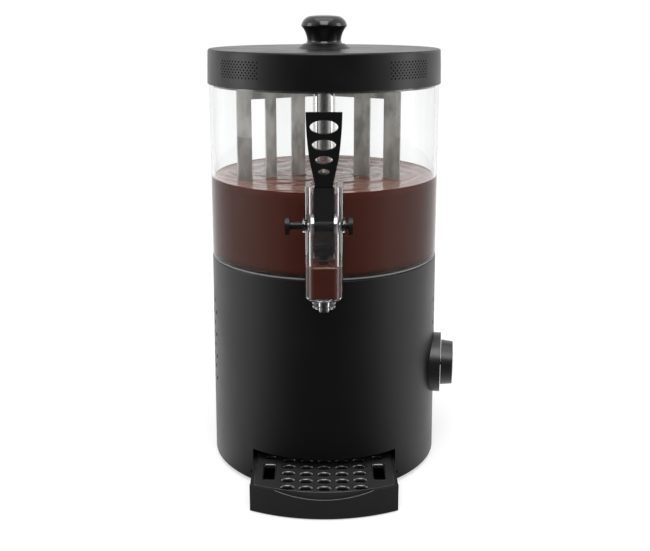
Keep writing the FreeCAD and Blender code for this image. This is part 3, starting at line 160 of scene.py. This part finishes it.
def clear(name, tint, rough, shade, ior, haze, edge=0.0):
    """Clear plastic, which lets the light straight through to what it holds.

    shade tints that light, haze is the milky share of the plastic, and edge is how
    much darker it gets where it is seen at a low angle.
    """
    made, tree = tree_of(name)
    faint = spread(tree, noise(tree, 30.0, 2.0, STREAKED), 0.0, 1.0)
    colour = blend(tree, faint, tint, shade_of(tint, 0.93))
    if edge:
        facing = add(tree, "ShaderNodeLayerWeight", {"Blend": 0.5}).outputs["Facing"]
        steep = add(tree, "ShaderNodeMath", {0: facing, 1: 6.0}, operation="POWER").outputs[0]
        colour = blend(tree, steep, colour, shade_of(tint, 1 - edge))
    body = add(tree, "ShaderNodeBsdfPrincipled", {
        "Base Color": colour,
        "Roughness": rough,
        "IOR": ior,
        "Transmission Weight": 1.0,
    }).outputs["BSDF"]
    milky = add(tree, "ShaderNodeBsdfDiffuse", {"Color": (0.75, 0.76, 0.76, 1)}).outputs["BSDF"]
    streaks = spread(tree, noise(tree, 42.0, 2.0, STREAKED), haze * 0.5, haze * 1.5)
    hazy = add(tree, "ShaderNodeMixShader", {0: streaks, 1: body, 2: milky}).outputs["Shader"]
    path = add(tree, "ShaderNodeLightPath").outputs
    through = add(tree, "ShaderNodeBsdfTransparent", {"Color": shade}).outputs["BSDF"]
    passing = add(tree, "ShaderNodeMath", {
        0: path["Is Shadow Ray"], 1: path["Is Diffuse Ray"],
    }, operation="MAXIMUM").outputs[0]
    mixed = add(tree, "ShaderNodeMixShader", {0: passing, 1: hazy, 2: through})
    finish_tree(tree, mixed.outputs["Shader"])
    return made


def mesh_piece(name, points, faces, material, body):
    """A smooth piece of the object made from points in metres, riding a CAD body."""
    data = bpy.data.meshes.new(name)
    data.from_pydata([tuple(p) for p in points], [], faces)
    data.validate()
    data.update()
    data.shade_smooth()
    made = bpy.data.objects.new(name, data)
    bpy.context.scene.collection.objects.link(made)
    data.materials.append(material)
    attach(made, body)
    return made


def bands(rows, count, closed=False):
    """Four-sided faces between rows of points, each row a ring of count points.

    closed also joins the last row to the first.
    """
    faces = []
    for k in range(rows if closed else rows - 1):
        after_k = (k + 1) % rows
        for i in range(count):
            j = (i + 1) % count
            faces.append((k * count + i, k * count + j, after_k * count + j, after_k * count + i))
    return faces


# Materials

satin_black = plastic("satin_black", srgb(8, 8, 9), 0.34, 0.42, 0.10, level=0.28)
lid_paint = plastic("lid_paint", srgb(8, 8, 9), 0.30, 0.38, 0.08, level=0.28)
gloss_black = plastic("gloss_black", srgb(9, 9, 10), 0.12, 0.20)
lever_black = plastic("lever_black", srgb(6, 6, 7), 0.40, 0.50, 0.08, level=0.2)
tray_black = plastic("tray_black", srgb(32, 32, 33), 0.36, 0.46, 0.12, level=0.35)
grid_black = plastic("grid_black", srgb(40, 40, 41), 0.36, 0.44, 0.05, level=0.4)
inner_black = plastic("inner_black", srgb(16, 16, 17), 0.50, 0.62)
rubber = plastic("rubber", srgb(22, 22, 22), 0.62, 0.75, 0.2)
silicone = plastic("silicone", srgb(176, 176, 172), 0.42, 0.52)
bush_white = plastic("bush_white", srgb(214, 210, 200), 0.38, 0.48)
ceramic = plastic("ceramic", srgb(222, 216, 204), 0.42, 0.52)
gear_white = plastic("gear_white", srgb(214, 210, 198), 0.36, 0.46)
gear_case = plastic("gear_case", srgb(64, 66, 70), 0.42, 0.52)
dial_grey = plastic("dial_grey", srgb(20, 20, 21), 0.28, 0.36, 0.05)
brushed_steel = metal("brushed_steel", srgb(160, 158, 153), 0.28, 0.44, BRUSHED, 90.0, 0.10, 0.32)
# painted shade: the brushed steel painted darker, for the right comb only
painted_shade_steel = metal("painted_shade_steel", srgb(142, 140, 134), 0.28, 0.44, BRUSHED, 90.0, 0.10, 0.32)
bright_steel = metal("bright_steel", srgb(206, 206, 206), 0.08, 0.14, DRAWN, 60.0)
tube_steel = metal("tube_steel", srgb(206, 206, 204), 0.14, 0.20, DRAWN, 60.0)
zinc = metal("zinc", srgb(168, 170, 174), 0.28, 0.40)
aluminium = metal("aluminium", srgb(186, 188, 192), 0.30, 0.42)
dial_silver = metal("dial_silver", srgb(150, 150, 152), 0.26, 0.34, (1, 1, 1), 120.0)
tank_clear = clear("tank_clear", (0.965, 0.968, 0.97, 1), 0.0, (0.93, 0.93, 0.93, 1), 1.24, 0.004, 0.7)
tap_clear = clear("tap_clear", (0.96, 0.97, 0.97, 1), 0.0, (0.92, 0.92, 0.92, 1), 1.44, 0.0)
seal_clear = clear("seal_clear", (0.86, 0.87, 0.87, 1), 0.15, (0.8, 0.8, 0.8, 1), 1.3, 0.02)
plunger_clear = clear("plunger_clear", (0.55, 0.55, 0.55, 1), 0.05, (0.5, 0.5, 0.5, 1), 1.40, 0.004)
chocolate = plastic("chocolate", srgb(64, 28, 19), 0.60, 0.70, level=0.0)
# painted light: the drink's top is the same chocolate painted much lighter, for the top light and
# reflected backdrop on it
chocolate_top = plastic("chocolate_top", srgb(132, 82, 66), 0.14, 0.22, level=0.8)
# painted light: the top of the drink in the tap is the chocolate painted lighter
painted_light_tap_drink = plastic("painted_light_tap_drink", srgb(88, 44, 32), 0.14, 0.22, level=0.8)
# painted light: a pale grey that stands for the light seen in the clear edge of the tank's floor
painted_light_edge = plastic("painted_light_edge", srgb(112, 108, 106), 0.40, 0.50)
lip_black = plastic("lip_black", srgb(30, 30, 31), 0.14, 0.20, level=1.0)
pin_black = plastic("pin_black", srgb(10, 10, 11), 0.34, 0.42, level=0.3)

FINISH = {
    "base_shell": satin_black,
    "bottom_plate": inner_black,
    "feet": rubber,
    "bottom_screws": zinc,
    "heater_plate": aluminium,
    "heating_element": brushed_steel,
    "thermal_cutout": ceramic,
    "thermostat_bulb": bright_steel,
    "carrier_plate": zinc,
    "carrier_screws": zinc,
    "gearbox_case": gear_case,
    "gearbox_cover": gear_case,
    "shaft_socket": gear_case,
    "motor_can": zinc,
    "motor_screws": zinc,
    "riser_tube": tube_steel,
    "riser_gasket": silicone,
    "riser_nut": zinc,
    "lower_bush": bush_white,
    "upper_bush": bush_white,
    "tank": tank_clear,
    "tank_gasket": silicone,
    "outlet_gasket": silicone,
    "union_nut": lever_black,
    "tap_barrel": tap_clear,
    "tap_nozzle": tap_clear,
    "tap_chocolate": chocolate,
    "pivot_pin": pin_black,
    "pin_cap": pin_black,
    "pivot_spacers": bright_steel,
    "dial_bezel": dial_grey,
    "thermostat_body": zinc,
    "cord_gland": inner_black,
    "gland_nut": inner_black,
    "terminal_block": ceramic,
    "drive_shaft": bright_steel,
    "drive_gear": gear_white,
    "thrust_washer": bush_white,
    "stirrer_hub": bright_steel,
    "left_comb": brushed_steel,
    # painted shade: the right comb takes the darker copy of the brushed steel
    "right_comb": painted_shade_steel,
    "back_comb": brushed_steel,
    "hub_nut": bright_steel,
    "chocolate_fill": chocolate,
    "motor_pinion": zinc,
    "motor_shaft": bright_steel,
    "lid_shell": lid_paint,
    "lid_knob": gloss_black,
    "knob_screw": zinc,
    "lid_seal": seal_clear,
    "tap_lever": lever_black,
    "tap_plunger": plunger_clear,
    "plunger_collar": lever_black,
    "plunger_seal": silicone,
    "dial_knob": dial_grey,
    "dial_cap": dial_silver,
    "thermostat_spindle": zinc,
    "drip_tray": tray_black,
    "tray_grid": grid_black,
}
for word, finish in FINISH.items():
    slots = cad[word].data.materials
    if not len(slots):
        slots.append(finish)
    for i in range(len(slots)):
        slots[i] = finish


# The drink, with a rippled surface that climbs a little up what it touches

# Sizes of the CAD model that the drink follows
TANK_WALL = 3.0 * MM
DRINK_HOLE = 10.7 * MM
FOOT_HOLE = 15.3 * MM
FOOT_TOP = 5.8 * MM

# Each comb's heading in degrees, with the middle and the width of its tines in millimetres
TINES = {
    210: ((27.2, 13.5), (54.9, 10.2), (80.8, 13.5)),
    330: ((39.5, 15.7), (69.3, 15.7)),
    90: ((47.0, 13.5), (75.0, 13.5)),
}
TINE_HALF = 1 * MM

# The drink reaches this far into the wall, so that no gap shows between them
DRINK_OVERLAP = 0.08 * MM
SWELL_HEIGHT = 0.75 * MM
RIPPLE_HEIGHT = 0.26 * MM
RIPPLE_SHIFT = (0.02, -0.03)

# Near the wall and the riser tube the waves die out over this distance
CALM = 4 * MM

# How high the drink climbs and how far out that reaches, at the wall, the tube and the tines
WALL_CLIMB = (0.9 * MM, 1.2 * MM)
TUBE_CLIMB = (1.2 * MM, 1.6 * MM)
TINE_CLIMB = (1.0 * MM, 1.4 * MM)

TURNS = 360
RINGS = 96
SIDE_LOOPS = 13


def ripples(x, y, seed, count, shortest, longest):
    """Heights of a stirred surface, about -1 to 1, from waves along the way it turns."""
    pick = np.random.default_rng(seed)
    radius = np.hypot(x, y)
    angle = np.arctan2(y, x)
    total = np.zeros_like(x)
    for _ in range(count):
        across = 2 * np.pi / pick.uniform(shortest, longest)
        around = pick.integers(-7, 8)
        drift = pick.uniform(0, 2 * np.pi)
        bend = pick.uniform(0.4, 1.4)
        total += np.sin(across * radius + around * angle + bend * np.sin(3 * angle + drift) + drift)
    return total / math.sqrt(count) * 0.7


def climb(gap, height, reach):
    """How far the drink stands up against something at this distance."""
    return height * np.exp(-np.maximum(gap, 0) / reach)


def ring(radius, z):
    """The points of a level circle about the machine's axis."""
    return [(radius * math.cos(a), radius * math.sin(a), z) for a in angles]


low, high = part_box("chocolate_fill")
drink_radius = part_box("tank")[1].x - TANK_WALL + DRINK_OVERLAP
angles = np.linspace(0, 2 * np.pi, TURNS, endpoint=False)
radii = np.linspace(drink_radius, DRINK_HOLE, RINGS)
grid_r, grid_a = np.meshgrid(radii, angles, indexing="ij")
grid_x, grid_y = grid_r * np.cos(grid_a), grid_r * np.sin(grid_a)
waves = SWELL_HEIGHT * ripples(grid_x, grid_y, seed=7, count=9, shortest=12 * MM, longest=34 * MM)
waves += RIPPLE_HEIGHT * ripples(
    grid_x + RIPPLE_SHIFT[0], grid_y + RIPPLE_SHIFT[1], seed=21, count=8, shortest=6 * MM, longest=12 * MM
)
edge = np.minimum(drink_radius - grid_r, grid_r - DRINK_HOLE)
waves *= 1 - np.exp(-edge / CALM)
top_z = high.z + waves
top_z += climb(drink_radius - grid_r, *WALL_CLIMB) + climb(grid_r - DRINK_HOLE, *TUBE_CLIMB)
for comb_angle, tines in TINES.items():
    cos, sin = math.cos(math.radians(comb_angle)), math.sin(math.radians(comb_angle))
    along = grid_x * cos + grid_y * sin
    aside = -grid_x * sin + grid_y * cos
    for middle, width in tines:
        gap_along = np.maximum(np.abs(along - middle * MM) - width / 2 * MM, 0)
        gap_aside = np.maximum(np.abs(aside) - TINE_HALF, 0)
        top_z += climb(np.hypot(gap_along, gap_aside), *TINE_CLIMB)
points = []
for z in np.linspace(low.z, high.z, SIDE_LOOPS + 1)[:-1]:
    points += ring(drink_radius, z)
points += list(zip(grid_x.ravel(), grid_y.ravel(), top_z.ravel()))
inner = [(DRINK_HOLE, low.z + FOOT_TOP), (FOOT_HOLE, low.z + FOOT_TOP), (FOOT_HOLE, low.z)]
for r, z in inner:
    points += ring(r, z)
faces = bands(SIDE_LOOPS + RINGS + len(inner), TURNS, closed=True)
drink = mesh_piece("drink", points, faces, chocolate, "stirrer")
# the rippled top's faces take the chocolate painted lighter, as painted light
drink.data.materials.append(chocolate_top)
for i in range(SIDE_LOOPS * TURNS, (SIDE_LOOPS + RINGS - 1) * TURNS):
    drink.data.polygons[i].material_index = 1
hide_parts("chocolate_fill")


# Rounded lips of the grid's holes, with short collars below them

# Sizes of the CAD grid in millimetres, with places from the machine's axis
PITCH_X, PITCH_Y = 15.6, 12.0
FRONT_ROW_Y = -137.5
ROW_BOW = 0.06
HOLE_WIDE, HOLE_DEEP = 13.0, 8.6
SIDE_X = 48.0
SIDE_HOLE_Y, SIDE_HOLE_WIDE = -82.4, 12.0
SLOT_Y, SLOT_WIDE, SLOT_DEEP, SLOT_CORNER = -108.7, 11.0, 28.6, 2.0

# The lip's outline as outward and up in millimetres, from the hole's edge at the grid's top
LIP = (
    (0.90, -0.10), (0.80, 0.06), (0.50, 0.10), (0.10, 0.02), (-0.35, -0.22), (-0.75, -0.60),
    (-1.05, -1.10), (-1.20, -1.70), (-1.25, -4.00), (-0.60, -4.00), (-0.45, -1.60), (0.10, -0.60),
)

# The lip's fullness: this much at the hole's sides, and so much more at its back or less at its front
LIP_FULL, LIP_SWING = 0.62, 0.38


def lip_round(path, profile):
    """A closed lip of profile points (outward, z) round a path of (x, y, outward x, outward y)."""
    points = []
    for outward, z in profile:
        for x, y, nx, ny in path:
            full = LIP_FULL + LIP_SWING * ny
            up = z * full if z > 0 else z
            points.append((x + outward * full * nx, y + outward * full * ny, up))
    return points, bands(len(profile), len(path), closed=True)


def oval_path(x, y, wide, deep, count=40):
    """An oval about (x, y), with the way outward at each point."""
    path = []
    for i in range(count):
        a = 2 * math.pi * i / count
        nx, ny = math.cos(a) / (wide / 2), math.sin(a) / (deep / 2)
        size = math.hypot(nx, ny)
        path.append((x + wide / 2 * math.cos(a), y + deep / 2 * math.sin(a), nx / size, ny / size))
    return path


def slot_path(x, y, wide, deep, corner, steps=6):
    """A rectangle with round corners about (x, y), with the way outward at each point."""
    path = []
    for quarter, (sx, sy) in enumerate(((1, 1), (-1, 1), (-1, -1), (1, -1))):
        corner_x = x + sx * (wide / 2 - corner)
        corner_y = y + sy * (deep / 2 - corner)
        for i in range(steps + 1):
            a = math.radians(90 * quarter + 90 * i / steps)
            nx, ny = math.cos(a), math.sin(a)
            path.append((corner_x + corner * nx, corner_y + corner * ny, nx, ny))
    return path


GRID_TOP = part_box("tray_grid")[1].z
paths = []
for column in range(-2, 3):
    for row in range(5):
        x = column * PITCH_X
        y = FRONT_ROW_Y + row * PITCH_Y + ROW_BOW * column * column * PITCH_X / 2
        paths.append(oval_path(x, y, HOLE_WIDE, HOLE_DEEP))
for side in (-1, 1):
    paths.append(oval_path(side * SIDE_X, SIDE_HOLE_Y, SIDE_HOLE_WIDE, HOLE_DEEP))
    paths.append(slot_path(side * SIDE_X, SLOT_Y, SLOT_WIDE, SLOT_DEEP, SLOT_CORNER))
points, faces = [], []
for path in paths:
    lip_points, lip_faces = lip_round(path, LIP)
    start = len(points)
    points += [(x * MM, y * MM, GRID_TOP + z * MM) for x, y, z in lip_points]
    faces += [tuple(start + i for i in face) for face in lip_faces]
mesh_piece("grid_lips", points, faces, lip_black, "grid")


# The drink in the tap, with a rippled surface round the plunger's rod

# The surface reaches this far into the barrel's wall, with a skirt this far below the CAD drink's top
TAP_OVERLAP = 0.05 * MM
TAP_SKIRT = 0.3 * MM
TAP_CORNER = 4.0 * MM
ROD_HOLE = 4.3 * MM


def tap_height(x, y, share):
    """Height in millimetres above the CAD drink, at a share of the way from the rod to the wall."""
    wave = 0.35 * math.sin(900 * x + 2) * math.sin(700 * y + 1)
    wave += 0.2 * math.sin(1500 * x - 900 * y)
    wave *= math.sin(math.pi * share)
    at_wall, at_rod = 1.2 * math.exp(-(1 - share) * 7), 0.8 * math.exp(-share * 9)
    return 0.25 + wave + (at_wall + at_rod)


tap_low, tap_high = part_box("tap_chocolate")
tap_x, tap_y = (tap_low.x + tap_high.x) / 2, (tap_low.y + tap_high.y) / 2
half_x = (tap_high.x - tap_low.x) / 2 + TAP_OVERLAP
half_y = (tap_high.y - tap_low.y) / 2 + TAP_OVERLAP
outer = slot_path(0, 0, 2 * half_x, 2 * half_y, TAP_CORNER, steps=10)
shares = np.linspace(0, 1, 16)
points = []
for share in shares:
    for x, y, nx, ny in outer:
        a = math.atan2(y, x)
        inner_x, inner_y = ROD_HOLE * math.cos(a), ROD_HOLE * math.sin(a)
        px, py = inner_x + (x - inner_x) * share, inner_y + (y - inner_y) * share
        points.append((tap_x + px, tap_y + py, tap_high.z + tap_height(px, py, share) * MM))
points += [(tap_x + x, tap_y + y, tap_high.z - TAP_SKIRT) for x, y, nx, ny in outer]
# the tap drink's top takes the chocolate painted lighter, as painted light
mesh_piece("tap_drink_top", points, bands(len(shares) + 1, len(outer)), painted_light_tap_drink, "base")


# Painted light at the edge of the tank's floor: a thin pale band, whose face lies just outside the
# tank's, stands for the light seen in the clear floor's edge

RIM_OUT, RIM_DEPTH = 0.04 * MM, 0.5 * MM
RIM_LOW, RIM_HIGH = 0.3 * MM, 1.6 * MM
tank_low, tank_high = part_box("tank")
rim = tank_high.x + RIM_OUT
points = ring(rim, tank_low.z + RIM_LOW) + ring(rim, tank_low.z + RIM_HIGH)
points += ring(rim - RIM_DEPTH, tank_low.z + RIM_HIGH) + ring(rim - RIM_DEPTH, tank_low.z + RIM_LOW)
mesh_piece("tank_floor_edge", points, bands(4, TURNS, closed=True), painted_light_edge, "base")


# Thin rounded edges of the grid and of the tray's scoop, which catch the light

# Half width and back end of the CAD grid, and the scoop's half width and depth
GRID_HALF, GRID_BACK = 60.0 * MM, -75 * MM
SCOOP_HALF, SCOOP_DEPTH = 42.0 * MM, 5.7 * MM

# Radius of each edge, and how far its middle lies below or behind the CAD edge
GRID_EDGE, GRID_EDGE_SINK = 0.35 * MM, 0.1 * MM
SCOOP_EDGE, SCOOP_EDGE_BACK, SCOOP_EDGE_SINK = 0.45 * MM, 0.3 * MM, 0.15 * MM


def bead(path, radius, sides=10):
    """A rounded cord along a path of places."""
    path = [Vector(p) for p in path]
    points = []
    for k, place in enumerate(path):
        along = (path[min(k + 1, len(path) - 1)] - path[max(k - 1, 0)]).normalized()
        aside = along.cross(Vector((0, 0, 1))).normalized()
        up = aside.cross(along)
        for i in range(sides):
            a = 2 * math.pi * i / sides
            points.append(place + aside * math.cos(a) * radius + up * math.sin(a) * radius)
    faces = bands(len(path), sides)
    faces.append(tuple(range(sides)))
    faces.append(tuple((len(path) - 1) * sides + i for i in reversed(range(sides))))
    return points, faces


grid_front = -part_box("tray_grid")[0].y - GRID_EDGE
grid_half = GRID_HALF - GRID_EDGE
corner_y = math.sqrt(grid_front ** 2 - grid_half ** 2)
edge_z = GRID_TOP - GRID_EDGE_SINK
arc = math.asin(grid_half / grid_front)
path = [(-grid_half, y, edge_z) for y in np.linspace(GRID_BACK, -corner_y, 8)]
for a in np.linspace(-arc, arc, 60)[1:-1]:
    path.append((grid_front * math.sin(a), -grid_front * math.cos(a), edge_z))
path += [(grid_half, y, edge_z) for y in np.linspace(-corner_y, GRID_BACK, 8)]
points, faces = bead(path, GRID_EDGE)
mesh_piece("grid_edge", points, faces, lip_black, "grid")

tray_low, tray_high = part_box("drip_tray")
scoop_radius = SCOOP_HALF ** 2 / (2 * SCOOP_DEPTH) + SCOOP_DEPTH / 2
scoop_z = tray_high.z - SCOOP_DEPTH + scoop_radius
tray_front = -tray_low.y - SCOOP_EDGE_BACK
path = []
for x in np.linspace(-SCOOP_HALF, SCOOP_HALF, 61):
    y = -math.sqrt(tray_front ** 2 - x * x)
    z = scoop_z - math.sqrt(scoop_radius ** 2 - x * x) - SCOOP_EDGE_SINK
    path.append((x, y, z))
points, faces = bead(path, SCOOP_EDGE)
mesh_piece("scoop_edge", points, faces, lip_black, "tray")


# Floor, world and lamps

# The camera, and what clear pieces let through, see the floor and the world as white.
# Mirrors see them white behind and beside the object, and darker in front of it.
FLOOR_LIT = 0.50
LIT_BY_WORLD = 0.55

# The Y part of a heading straight ahead of the object, and of one a little ahead of its sides
AHEAD, BESIDE = -0.98, -0.30

# The floor's own glow near the object and far from it, over this range of metres from the axis
NEAR_GLOW, FAR_GLOW = 0.55, 0.8
GLOW_START, GLOW_END = 0.3, 2.2
FLOOR_REACH = 6.0


def once(tree, depth):
    """1 where the ray has bounced in this way at least once, else 0."""
    return add(tree, "ShaderNodeMath", {0: depth, 1: 1.0}, operation="MINIMUM").outputs[0]


def by_turn(tree, turned, first, second):
    """first where turned is 0, and second where it is 1."""
    return add(tree, "ShaderNodeMapRange", {
        "Value": turned, "To Min": first, "To Max": second,
    }).outputs["Result"]


def dim_ahead(tree, heading, low):
    """low for a heading straight ahead of the object, rising smoothly to 1 beside and behind it."""
    return add(tree, "ShaderNodeMapRange", {
        "Value": heading, "From Min": AHEAD, "From Max": BESIDE, "To Min": low, "To Max": 1.0,
    }, interpolation_type="SMOOTHSTEP").outputs["Result"]


floor_paint, floor_tree = tree_of("floor_paint")
rays = add(floor_tree, "ShaderNodeLightPath").outputs
place = add(floor_tree, "ShaderNodeTexCoord").outputs["Object"]
parts = add(floor_tree, "ShaderNodeSeparateXYZ", {"Vector": place})
distance = add(floor_tree, "ShaderNodeVectorMath", {0: place}, operation="LENGTH").outputs["Value"]
glow = spread(floor_tree, distance, NEAR_GLOW, FAR_GLOW, GLOW_START, GLOW_END)
heading = add(floor_tree, "ShaderNodeMath", {
    0: parts.outputs["Y"], 1: distance,
}, operation="DIVIDE").outputs[0]
mirrored = dim_ahead(floor_tree, heading, 0.03)
by_mirror = by_turn(floor_tree, once(floor_tree, rays["Glossy Depth"]), 1.0, mirrored)
by_bounce = by_turn(floor_tree, once(floor_tree, rays["Diffuse Depth"]), by_mirror, 0.0)
strength = add(floor_tree, "ShaderNodeMath", {0: glow, 1: by_bounce}, operation="MULTIPLY")
lit_ahead = dim_ahead(floor_tree, heading, 0.15)
lit_mirrored = by_turn(floor_tree, once(floor_tree, rays["Glossy Depth"]), 1.0, lit_ahead)
lit = add(floor_tree, "ShaderNodeMath", {0: lit_mirrored, 1: FLOOR_LIT}, operation="MULTIPLY")
diffuse = add(floor_tree, "ShaderNodeBsdfDiffuse", {"Color": lit.outputs[0]})
shine = add(floor_tree, "ShaderNodeEmission", {"Color": (1, 1, 1, 1), "Strength": strength.outputs[0]})
both = add(floor_tree, "ShaderNodeAddShader", {0: diffuse.outputs["BSDF"], 1: shine.outputs["Emission"]})
finish_tree(floor_tree, both.outputs["Shader"])

floor_mesh = bpy.data.meshes.new("studio_floor")
corners = [(x * FLOOR_REACH, y * FLOOR_REACH, 0) for x, y in ((-1, -1), (1, -1), (1, 1), (-1, 1))]
floor_mesh.from_pydata(corners, [], [(0, 1, 2, 3)])
studio_floor = bpy.data.objects.new("studio_floor", floor_mesh)
bpy.context.scene.collection.objects.link(studio_floor)
floor_mesh.materials.append(floor_paint)

world = bpy.data.worlds.new("studio")
bpy.context.scene.world = world
world.use_nodes = True
sky = world.node_tree
sky.nodes.clear()
rays = add(sky, "ShaderNodeLightPath").outputs
direction = add(sky, "ShaderNodeTexCoord").outputs["Generated"]
parts = add(sky, "ShaderNodeSeparateXYZ", {"Vector": direction})
mirrored = dim_ahead(sky, parts.outputs["Y"], 0.04)
by_mirror = by_turn(sky, once(sky, rays["Glossy Depth"]), 1.0, mirrored)
by_bounce = by_turn(sky, once(sky, rays["Diffuse Depth"]), by_mirror, LIT_BY_WORLD)
light = add(sky, "ShaderNodeBackground", {"Color": (1, 1, 1, 1), "Strength": by_bounce})
sky.links.new(light.outputs[0], add(sky, "ShaderNodeOutputWorld").inputs["Surface"])


def softbox(name, place, target, wide, tall, power):
    """A rectangular lamp at a place, turned to its target, in metres and watts."""
    lamp = bpy.data.lights.new(name, "AREA")
    lamp.shape = "RECTANGLE"
    lamp.size = wide
    lamp.size_y = tall
    lamp.energy = power
    made = bpy.data.objects.new(name, lamp)
    bpy.context.scene.collection.objects.link(made)
    made.location = place
    made.rotation_mode = "QUATERNION"
    made.rotation_quaternion = (Vector(target) - Vector(place)).to_track_quat("-Z", "Y")


softbox("top_light", (0.0, 0.0, 1.7), (0, 0, 0.2), 1.3, 1.1, 7.0)
softbox("front_light", (0.0, -1.0, 1.5), (0, 0, 0.1), 0.9, 1.0, 15.0)
softbox("left_light", (-1.6, -0.2, 0.7), (0, 0, 0.2), 0.7, 1.3, 8.0)
softbox("right_light", (1.6, -0.2, 0.7), (0, 0, 0.2), 0.7, 1.3, 8.0)


# Camera, at the photograph's distance and height, but tilted down and less shifted

EYE_PLACE = (0.0008, -0.840, 0.4182)
EYE_TILT = 12.33
EYE_SHIFT = -0.1
EYE_LENS = 50.53

eye = bpy.data.cameras.new("eye")
eye.sensor_width = 36.0
eye.sensor_fit = "HORIZONTAL"
eye.lens = EYE_LENS
eye.shift_y = EYE_SHIFT
eye.clip_start = 0.01
eye.clip_end = 100.0
camera = bpy.data.objects.new("eye", eye)
bpy.context.scene.collection.objects.link(camera)
camera.location = EYE_PLACE
camera.rotation_euler = (math.radians(90 - EYE_TILT), 0, 0)
bpy.context.scene.camera = camera
bpy.context.scene.view_settings.view_transform = "Standard"
